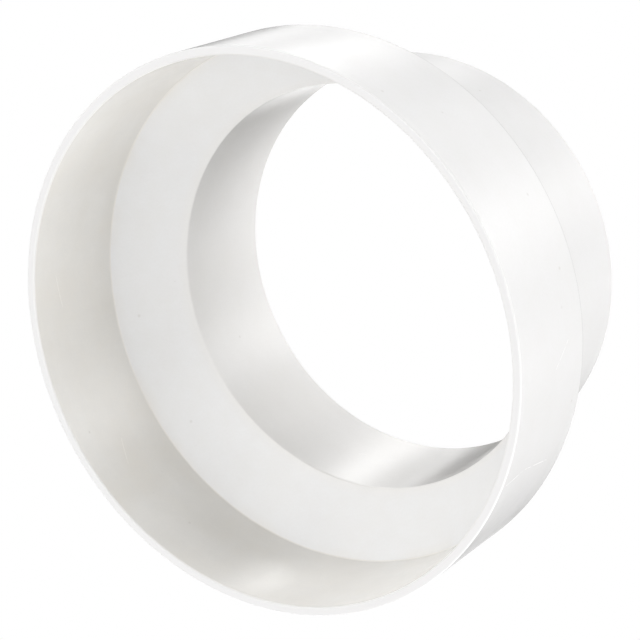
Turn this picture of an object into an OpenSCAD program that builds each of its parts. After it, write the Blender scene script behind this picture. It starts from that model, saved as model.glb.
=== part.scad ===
// Round duct reducer for ventilation ducting, moulded in one piece.
// A wide spigot steps down through a 45 degree cone to a narrow spigot.
// It stands on the rim of the narrow end, with the wide end open upwards.
// Origin: centre of the narrow rim's end face. The duct axis is +Z.

/* [Wide end] */
// Outside diameter of the wide spigot, a slip fit inside 125 mm duct
wide_od = 124.5; // [110:0.5:160]
// Wall thickness of the wide spigot
wide_wall = 2.0; // [1.2:0.1:3.5]
// Straight length of the wide spigot, measured outside
wide_len = 28; // [15:0.5:80]

/* [Narrow end] */
// Outside diameter of the narrow spigot, a slip fit inside 100 mm duct
narrow_od = 99.0; // [60:0.5:104]
// Wall thickness of the narrow spigot
narrow_wall = 2.3; // [1.2:0.1:3.5]
// Straight length of the narrow spigot, measured outside
narrow_len = 29.25; // [15:0.25:80]

/* [Cone and edges] */
// How far the inside of the cone sits towards the wide end, which thickens the cone's wall
cone_lift = 0.4; // [0.2:0.1:1.5]
// Radius where the cone meets the two spigots, inside and outside
step_r = 0.8; // [0.2:0.1:1.2]
// Radius on the outer edge of both rims
rim_out_r = 0.3; // [0.1:0.05:0.5]
// Radius on the inner edge of both rims
rim_in_r = 0.5; // [0.1:0.05:0.6]

/* [Hidden] */
$fn = 180;

wide_ro = wide_od / 2;
wide_ri = wide_ro - wide_wall;
narrow_ro = narrow_od / 2;
narrow_ri = narrow_ro - narrow_wall;

// Heights where the 45 degree cone starts and ends, outside and inside
out_low = narrow_len;
out_top = out_low + (wide_ro - narrow_ro);
in_top = out_top + cone_lift;
in_low = in_top - (wide_ri - narrow_ri);
height = out_top + wide_len;

// Every corner of the wall's section, as [radius, height], going round from the narrow rim
section = [
    [narrow_ri, 0],
    [narrow_ro, 0],
    [narrow_ro, out_low],
    [wide_ro, out_top],
    [wide_ro, height],
    [wide_ri, height],
    [wide_ri, in_top],
    [narrow_ri, in_low]
];

function unit(v) = v / norm(v);

// The sliver between the corner p and the arc of radius r that rounds it off.
// a and b are the corners on either side of p.
module sliver_at(a, p, b, r) {
    ua = unit(a - p);
    ub = unit(b - p);
    half = acos(ua * ub) / 2;
    centre = p + unit(ua + ub) * (r / sin(half));
    difference() {
        polygon([p, p + ua * (r / tan(half)), centre, p + ub * (r / tan(half))]);
        translate(centre) circle(r = r);
    }
}

module sliver(i, r) {
    n = len(section);
    sliver_at(section[(i + n - 1) % n], section[i], section[(i + 1) % n], r);
}

// Corners that stick out lose their sliver, and corners that point in gain it
module wall_section() {
    difference() {
        union() {
            polygon(section);
            sliver(2, step_r);
            sliver(6, step_r);
        }
        sliver(0, rim_in_r);
        sliver(1, rim_out_r);
        sliver(3, step_r);
        sliver(4, rim_out_r);
        sliver(5, rim_in_r);
        sliver(7, step_r);
    }
}

module reducer_body() {
    color([0.94, 0.94, 0.925])
        rotate_extrude()
            wall_section();
}

reducer_body();
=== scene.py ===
# Round duct reducer in white moulded plastic, standing on its narrow rim with the wide end up.
import math

import bpy
import numpy as np
from mathutils import Matrix, Vector


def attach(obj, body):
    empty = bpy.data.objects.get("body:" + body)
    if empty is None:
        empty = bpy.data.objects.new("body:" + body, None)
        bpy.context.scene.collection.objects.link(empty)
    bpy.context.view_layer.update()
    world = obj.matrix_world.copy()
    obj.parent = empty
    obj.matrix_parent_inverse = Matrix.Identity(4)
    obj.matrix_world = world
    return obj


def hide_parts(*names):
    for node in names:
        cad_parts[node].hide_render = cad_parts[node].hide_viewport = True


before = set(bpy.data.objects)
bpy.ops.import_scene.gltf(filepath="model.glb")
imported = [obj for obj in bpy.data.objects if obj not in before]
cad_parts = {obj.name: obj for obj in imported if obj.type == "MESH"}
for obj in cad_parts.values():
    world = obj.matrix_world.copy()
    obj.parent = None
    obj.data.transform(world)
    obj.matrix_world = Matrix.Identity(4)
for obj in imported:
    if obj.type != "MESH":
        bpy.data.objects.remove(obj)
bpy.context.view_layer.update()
scene = bpy.context.scene
MM = 0.001

# ---------------------------------------------------------------- camera
# The lens axis, the top of the picture and the place are in the part's frame. The picture is 640 x 640.
FOCAL_PX = 2070.0
cam_data = bpy.data.cameras.new("photo_camera")
cam_data.sensor_fit = "HORIZONTAL"
cam_data.sensor_width = 36.0
cam_data.lens = FOCAL_PX * 36.0 / 640.0
cam_data.clip_start = 0.01
cam_data.clip_end = 50.0
camera = bpy.data.objects.new("photo_camera", cam_data)
scene.collection.objects.link(camera)
back = Vector((0.00495, -0.59677, 0.80239)).normalized()
up = Vector((0.89735, -0.35144, -0.26692))
up = (up - back * up.dot(back)).normalized()
side = up.cross(back)
camera.matrix_world = Matrix(
    (
        (side.x, up.x, back.x, 0.0),
        (side.y, up.y, back.y, -0.27120),
        (side.z, up.z, back.z, 0.41143),
        (0.0, 0.0, 0.0, 1.0),
    )
)
scene.camera = camera

# ---------------------------------------------------------------- studio
# A light tent: even light with soft lamps and, where the strength is negative, black flags.
# Each row is azimuth, elevation and half-width in degrees, then strength.
AMBIENT = 2.672
LEAN = (0.879, 2.729, 2.439)
LAMPS = [
    (86.0, 11.3, 61.1, -9.75),
    (155.2, -8.3, 20.1, 5.08),
    (107.1, -16.4, 20.8, 4.59),
    (274.9, -15.0, 14.9, 8.49),
    (43.8, 9.0, 18.8, 5.25),
    (305.3, -38.3, 20.2, -4.22),
    (217.8, -50.6, 25.7, 2.56),
    (307.9, 8.3, 16.8, -5.08),
    (315.7, -51.9, 15.8, 5.13),
    (203.3, -4.7, 19.1, 3.46),
    (9.0, -44.6, 13.1, 5.42),
    (95.2, -50.0, 14.4, 3.43),
    (272.6, -52.8, 13.0, 3.87),
    (140.8, 29.7, 9.1, 6.60),
    (248.8, 8.8, 5.7, 13.26),
    (347.0, 3.0, 8.1, 5.34),
    (347.7, 12.5, 8.6, -4.09),
    (259.1, 27.3, 13.0, -1.75),
    (331.7, -40.4, 8.9, -3.65),
    (354.6, -41.4, 6.2, -7.28),
    (54.8, -57.3, 6.9, 4.65),
    (62.3, -60.1, 5.6, -6.37),
    (175.0, -56.8, 9.7, 1.21),
    (182.1, -59.9, 6.3, -1.64),
]
# Red, green and blue of the light: even part, then how it changes along X, Y and Z.
TINT = [
    (1.000, 0.000, 0.000, 0.000),
    (1.000, 0.000, 0.000, 0.000),
    (1.000, 0.000, 0.000, 0.000),
]
world = bpy.data.worlds.new("light_tent")
scene.world = world
world.use_nodes = True
nt = world.node_tree
nt.nodes.clear()
geo = nt.nodes.new("ShaderNodeTexCoord")
direction = geo.outputs["Generated"]


def math_node(tree, op, *args):
    node = tree.nodes.new("ShaderNodeMath")
    node.operation = op
    for i, a in enumerate(args):
        if isinstance(a, (int, float)):
            node.inputs[i].default_value = a
        else:
            tree.links.new(a, node.inputs[i])
    return node.outputs[0]


def dot(tree, vec, const):
    node = tree.nodes.new("ShaderNodeVectorMath")
    node.operation = "DOT_PRODUCT"
    tree.links.new(vec, node.inputs[0])
    node.inputs[1].default_value = const
    return node.outputs["Value"]


total = math_node(nt, "ADD", dot(nt, direction, LEAN), AMBIENT)
for az, el, half, strength in LAMPS:
    a, e = math.radians(az), math.radians(el)
    aim = (math.cos(e) * math.cos(a), math.cos(e) * math.sin(a), math.sin(e))
    k = math.log(2.0) / (1.0 - math.cos(math.radians(half)))
    glow = math_node(nt, "EXPONENT", math_node(nt, "MULTIPLY_ADD", dot(nt, direction, aim), k, -k))
    total = math_node(nt, "MULTIPLY_ADD", glow, strength, total)
total = math_node(nt, "MAXIMUM", total, 0.0)
colour = nt.nodes.new("ShaderNodeCombineColor")
for i, (even, *lean) in enumerate(TINT):
    tint = math_node(nt, "ADD", dot(nt, direction, lean), even)
    nt.links.new(math_node(nt, "MULTIPLY", total, tint), colour.inputs[i])
bg = nt.nodes.new("ShaderNodeBackground")
bg.inputs["Strength"].default_value = 1.0
nt.links.new(colour.outputs[0], bg.inputs["Color"])
out = nt.nodes.new("ShaderNodeOutputWorld")
nt.links.new(bg.outputs[0], out.inputs["Surface"])
world.cycles.sampling_method = "MANUAL"
world.cycles.sample_map_resolution = 512


def white_sheet(name, verts, faces):
    """A pure white stage piece that only the camera sees, so the tent lights the part from every side."""
    mesh = bpy.data.meshes.new(name)
    mesh.from_pydata(verts, [], faces)
    mesh.update()
    obj = bpy.data.objects.new(name, mesh)
    scene.collection.objects.link(obj)
    mat = bpy.data.materials.new(name)
    mat.use_nodes = True
    mat.node_tree.nodes.clear()
    em = mat.node_tree.nodes.new("ShaderNodeEmission")
    em.inputs["Color"].default_value = (1.0, 1.0, 1.0, 1.0)
    em.inputs["Strength"].default_value = 1.0
    mo = mat.node_tree.nodes.new("ShaderNodeOutputMaterial")
    mat.node_tree.links.new(em.outputs[0], mo.inputs["Surface"])
    mesh.materials.append(mat)
    for what in ("diffuse", "glossy", "transmission", "volume_scatter", "shadow"):
        setattr(obj, "visible_" + what, False)
    return obj


R = 3.0
ring = [(R * math.cos(math.tau * i / 96), R * math.sin(math.tau * i / 96), -0.0005) for i in range(96)]
white_sheet("floor", ring, [tuple(range(96))])
verts, faces = [], []
for j in range(25):
    e = math.pi / 2 * j / 24
    for i in range(96):
        a = math.tau * i / 96
        verts.append((R * math.cos(e) * math.cos(a), R * math.cos(e) * math.sin(a), -0.0005 + R * math.sin(e)))
for j in range(24):
    for i in range(96):
        faces.append((j * 96 + i, j * 96 + (i + 1) % 96, (j + 1) * 96 + (i + 1) % 96, (j + 1) * 96 + i))
white_sheet("backdrop", verts, faces)

scene.view_settings.view_transform = "Standard"
scene.view_settings.look = "None"
scene.view_settings.exposure = 0.0
scene.view_settings.gamma = 1.0
scene.display_settings.display_device = "sRGB"

# ---------------------------------------------------------------- the part
# The wall's section, as radius, height and corner radius in millimetres, going round from the narrow rim.
SECTION = [
    (47.2, 0.0, 0.5),
    (49.5, 0.0, 0.3),
    (49.5, 29.25, 0.8),
    (62.25, 42.0, 0.8),
    (62.25, 70.0, 0.4),
    (60.25, 70.0, 0.5),
    (60.25, 42.4, 0.8),
    (47.2, 29.35, 0.8),
]
SEGMENTS = 384


def rounded_section(section, arc_steps=7, flat_step=2.4):
    """Points and outward normals along the section, with true arcs at its corners."""
    n = len(section)
    arcs = []
    for i in range(n):
        a = np.array(section[(i - 1) % n][:2])
        p = np.array(section[i][:2])
        b = np.array(section[(i + 1) % n][:2])
        r = section[i][2]
        ua = (a - p) / np.linalg.norm(a - p)
        ub = (b - p) / np.linalg.norm(b - p)
        half = math.acos(float(np.clip(ua @ ub, -1, 1))) / 2
        mid = (ua + ub) / np.linalg.norm(ua + ub)
        centre = p + mid * (r / math.sin(half))
        t0 = p + ua * (r / math.tan(half))
        t1 = p + ub * (r / math.tan(half))
        # going round anticlockwise, a left turn is a corner that sticks out
        turn = (p - a)[0] * (b - p)[1] - (p - a)[1] * (b - p)[0]
        out_sign = 1.0 if turn > 0 else -1.0
        a0 = math.atan2(*(t0 - centre)[::-1])
        a1 = math.atan2(*(t1 - centre)[::-1])
        d = (a1 - a0 + math.pi) % math.tau - math.pi
        pts = []
        for j in range(arc_steps + 1):
            ang = a0 + d * j / arc_steps
            v = np.array([math.cos(ang), math.sin(ang)])
            pts.append((centre + r * v, v * out_sign))
        arcs.append(pts)
    rows = []
    for i in range(n):
        rows += arcs[i]
        p0, n0 = arcs[i][-1]
        p1, _ = arcs[(i + 1) % n][0]
        steps = max(1, int(round(np.linalg.norm(p1 - p0) / flat_step)))
        for j in range(1, steps):
            rows.append((p0 + (p1 - p0) * j / steps, n0))
    return rows


rows = rounded_section(SECTION)
K = len(rows)
theta = np.arange(SEGMENTS) * math.tau / SEGMENTS
P = np.array([r[0] for r in rows])
N = np.array([r[1] for r in rows])
ct, st = np.cos(theta)[:, None], np.sin(theta)[:, None]
co = np.stack([P[None, :, 0] * ct, P[None, :, 0] * st, np.broadcast_to(P[None, :, 1], (SEGMENTS, K))], -1)
no = np.stack([N[None, :, 0] * ct, N[None, :, 0] * st, np.broadcast_to(N[None, :, 1], (SEGMENTS, K))], -1)
faces = []
for i in range(SEGMENTS):
    i2 = (i + 1) % SEGMENTS
    for j in range(K):
        j2 = (j + 1) % K
        faces.append((i * K + j, i2 * K + j, i2 * K + j2, i * K + j2))
mesh = bpy.data.meshes.new("reducer")
mesh.from_pydata((co.reshape(-1, 3) * MM).tolist(), [], faces)
mesh.update()
mesh.polygons.foreach_set("use_smooth", [True] * len(mesh.polygons))
mesh.normals_split_custom_set_from_vertices(no.reshape(-1, 3).tolist())
mesh.update()
reducer = bpy.data.objects.new("reducer", mesh)
scene.collection.objects.link(reducer)

# How much each point belongs to a rim's matt end face with its edges, to the faces inside and to the cone.
rim = np.where((P[:, 1] > 69.4) | (P[:, 1] < 0.6), np.clip(np.abs(N[:, 1]) / 0.5, 0.0, 1.0), 0.0)
inside = np.where(N[:, 0] < -0.1, np.where(P[:, 1] > 42.0, 0.85, np.where(P[:, 1] > 29.6, 0.10, 0.15)), 0.0)
cone = np.where((N[:, 0] < -0.1) & (P[:, 1] > 29.6) & (P[:, 1] < 42.2), 1.0, 0.0)
for name, values in (("rim_face", rim), ("inner_face", inside), ("cone_face", cone)):
    layer = mesh.attributes.new(name, "FLOAT", "POINT")
    layer.data.foreach_set("value", np.tile(values, SEGMENTS).astype(np.float32))

# ---------------------------------------------------------------- white plastic
# Moulded white plastic: faint mottling, a skin of fine grain and orange peel, sparse specks and hair
# scratches, faces inside tinted warmer with darker yellow-brown patches, and duller end faces on the rims.
mat = bpy.data.materials.new("moulded_plastic")
mat.use_nodes = True
mt = mat.node_tree
bsdf = mt.nodes["Principled BSDF"]
coords = mt.nodes.new("ShaderNodeTexCoord").outputs["Object"]


def noise(scale, detail=2.0, rough=0.5, stretch=None):
    node = mt.nodes.new("ShaderNodeTexNoise")
    node.inputs["Scale"].default_value = scale
    node.inputs["Detail"].default_value = detail
    node.inputs["Roughness"].default_value = rough
    if stretch:
        mp = mt.nodes.new("ShaderNodeMapping")
        mp.inputs["Scale"].default_value = stretch
        mt.links.new(coords, mp.inputs["Vector"])
        mt.links.new(mp.outputs[0], node.inputs["Vector"])
    else:
        mt.links.new(coords, node.inputs["Vector"])
    return node.outputs["Fac"]


def ramp(value, lo, hi, out_lo=0.0, out_hi=1.0):
    node = mt.nodes.new("ShaderNodeMapRange")
    node.clamp = True
    mt.links.new(value, node.inputs["Value"])
    for key, v in (("From Min", lo), ("From Max", hi), ("To Min", out_lo), ("To Max", out_hi)):
        node.inputs[key].default_value = v
    return node.outputs["Result"]


def attribute(name):
    node = mt.nodes.new("ShaderNodeAttribute")
    node.attribute_name = name
    return node.outputs["Fac"]


def blend(fac, a, b):
    node = mt.nodes.new("ShaderNodeMix")
    node.data_type = "RGBA"
    mt.links.new(fac, node.inputs["Factor"])
    for key, v in ((6, a), (7, b)):
        if isinstance(v, tuple):
            node.inputs[key].default_value = v + (1.0,)
        else:
            mt.links.new(v, node.inputs[key])
    return node.outputs[2]


def m(op, *args):
    return math_node(mt, op, *args)


# Specks in the moulding, as azimuth, height, radius and size in degrees and millimetres.
SPECKS = [
    (272, 49.1, 62.25, 0.38),
    (257, 48.0, 62.25, 0.42),
    (304, 11.1, 49.50, 0.34),
    (293, 56.6, 62.25, 0.30),
    (302, 66.0, 62.25, 0.40),
    (230, 45.1, 62.25, 0.34),
    (72, 38.6, 56.49, 0.42),
    (101, 37.7, 55.55, 0.38),
    (87, 16.0, 47.20, 0.34),
    (92, 64.6, 60.25, 0.34),
    (121, 57.1, 60.25, 0.34),
    (120, 55.0, 62.25, 0.40),
    (160, 63.5, 62.25, 0.32),
    (75, 12.0, 49.50, 0.40),
    (205, 20.5, 49.50, 0.34),
    (98, 50.0, 62.25, 0.30),
    (250, 61.0, 60.25, 0.32),
    (150, 8.0, 49.50, 0.30),
]
# Hairlines, as azimuth, height, radius, tilt against the rim and half-length.
HAIRLINES = [
    (219.3, 55.5, 62.25, 80, 9.5),
    (219.6, 65.0, 62.25, -82, 6.0),
    (241.5, 51.4, 62.25, -50, 6.6),
    (100, 58.0, 62.25, 24, 6.0),
    (140, 14.0, 49.50, -38, 5.0),
    (60, 61.5, 62.25, -12, 7.0),
]

rim_face = attribute("rim_face")
inner_face = attribute("inner_face")

# colour
blotch = noise(48.0, 4.0, 0.6)
streak = noise(150.0, 3.0, 0.55, (0.3, 0.3, 1.0))
mottle = ramp(m("ADD", blotch, streak), 0.8, 1.25)
# the faces inside are tinted warmer than the outside
lighter_tone = blend(inner_face, (0.870, 0.865, 0.863), (0.901, 0.886, 0.849))
darker_tone = blend(inner_face, (0.857, 0.851, 0.847), (0.873, 0.852, 0.804))
lighter_tone = blend(attribute("cone_face"), lighter_tone, (0.875, 0.878, 0.883))
darker_tone = blend(attribute("cone_face"), darker_tone, (0.862, 0.863, 0.866))
body = blend(mottle, lighter_tone, darker_tone)
# random patches on the faces inside turn darker and yellow-brown
inner_patch = m("MULTIPLY", ramp(noise(62.0, 3.0, 0.55, (1.0, 1.0, 0.45)), 0.42, 0.66), inner_face)
body = blend(m("MULTIPLY", inner_patch, 0.62), body, (0.850, 0.820, 0.762))
body = blend(ramp(noise(230.0, 2.0), 0.35, 0.7, 0.0, 0.22), body, (0.835, 0.826, 0.806))
body = blend(ramp(noise(1700.0, 1.5, 0.6), 0.35, 0.7, 0.0, 0.16), body, (0.80, 0.795, 0.785))
cells = mt.nodes.new("ShaderNodeTexVoronoi")
cells.feature = "F1"
cells.inputs["Scale"].default_value = 120.0
mt.links.new(coords, cells.inputs["Vector"])
pick = mt.nodes.new("ShaderNodeSeparateColor")
mt.links.new(cells.outputs["Color"], pick.inputs[0])
chosen = m("GREATER_THAN", pick.outputs[0], 0.35)
size = ramp(pick.outputs[1], 0.0, 1.0, 0.018, 0.05)
inner = m("SUBTRACT", 1.0, m("DIVIDE", cells.outputs["Distance"], size))
speck = m("MULTIPLY", m("MULTIPLY", m("MAXIMUM", inner, 0.0), chosen), 0.7)
for az, z, r, size in SPECKS:
    a = math.radians(az)
    spot = mt.nodes.new("ShaderNodeVectorMath")
    spot.operation = "DISTANCE"
    mt.links.new(coords, spot.inputs[0])
    spot.inputs[1].default_value = (r * math.cos(a) * MM, r * math.sin(a) * MM, z * MM)
    speck = m("MAXIMUM", speck, ramp(spot.outputs["Value"], size * 0.3 * MM, size * 1.25 * MM, 0.7, 0.0))
body = blend(m("MULTIPLY", speck, 0.36), body, (0.52, 0.49, 0.44))
body = blend(m("MULTIPLY", rim_face, 0.85), body, (0.822, 0.816, 0.813))
mt.links.new(body, bsdf.inputs["Base Color"])

# a few hairlines, each one the trace of a thin plane within a short reach of its middle
scratch = None
for az, z, r, tilt, reach in HAIRLINES:
    a = math.radians(az)
    mid = Vector((r * math.cos(a), r * math.sin(a), z)) * MM
    along = Vector((-math.sin(a), math.cos(a), 0.0))
    across = Vector((0.0, 0.0, 1.0)) * math.cos(math.radians(tilt)) - along * math.sin(math.radians(tilt))
    off = m("ABSOLUTE", m("SUBTRACT", dot(mt, coords, across), across.dot(mid)))
    span = mt.nodes.new("ShaderNodeVectorMath")
    span.operation = "DISTANCE"
    mt.links.new(coords, span.inputs[0])
    span.inputs[1].default_value = mid
    line = m("MULTIPLY", ramp(off, 0.00003, 0.00018, 1.0, 0.0), ramp(span.outputs["Value"], reach * 0.4 * MM, reach * MM, 1.0, 0.0))
    scratch = line if scratch is None else m("MAXIMUM", scratch, line)
scratch = m("MULTIPLY", scratch, ramp(noise(900.0, 1.0), 0.3, 0.6, 0.45, 0.9))

# roughness
rough = ramp(noise(70.0, 3.0), 0.3, 0.7, 0.195, 0.25)
rough = m("ADD", rough, ramp(noise(700.0, 2.0), 0.3, 0.7, -0.012, 0.012))
rough = m("ADD", rough, m("MULTIPLY", scratch, 0.1))
rough = m("ADD", rough, m("MULTIPLY", rim_face, 0.32))
mt.links.new(rough, bsdf.inputs["Roughness"])
mt.links.new(m("MULTIPLY_ADD", rim_face, -0.5, 0.7), bsdf.inputs["Specular IOR Level"])

# relief
peel = m("MULTIPLY", noise(420.0, 2.0), 1.0)
grain = m("MULTIPLY", noise(2600.0, 2.0, 0.6), 0.16)
relief = m("ADD", peel, grain)
relief = m("SUBTRACT", relief, m("MULTIPLY", scratch, 0.2))
relief = m("ADD", relief, m("MULTIPLY", speck, 0.2))
bump = mt.nodes.new("ShaderNodeBump")
bump.inputs["Strength"].default_value = 0.35
bump.inputs["Distance"].default_value = 0.00002
mt.links.new(relief, bump.inputs["Height"])
mt.links.new(bump.outputs[0], bsdf.inputs["Normal"])
mesh.materials.append(mat)

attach(reducer, "root")
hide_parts("reducer_body")
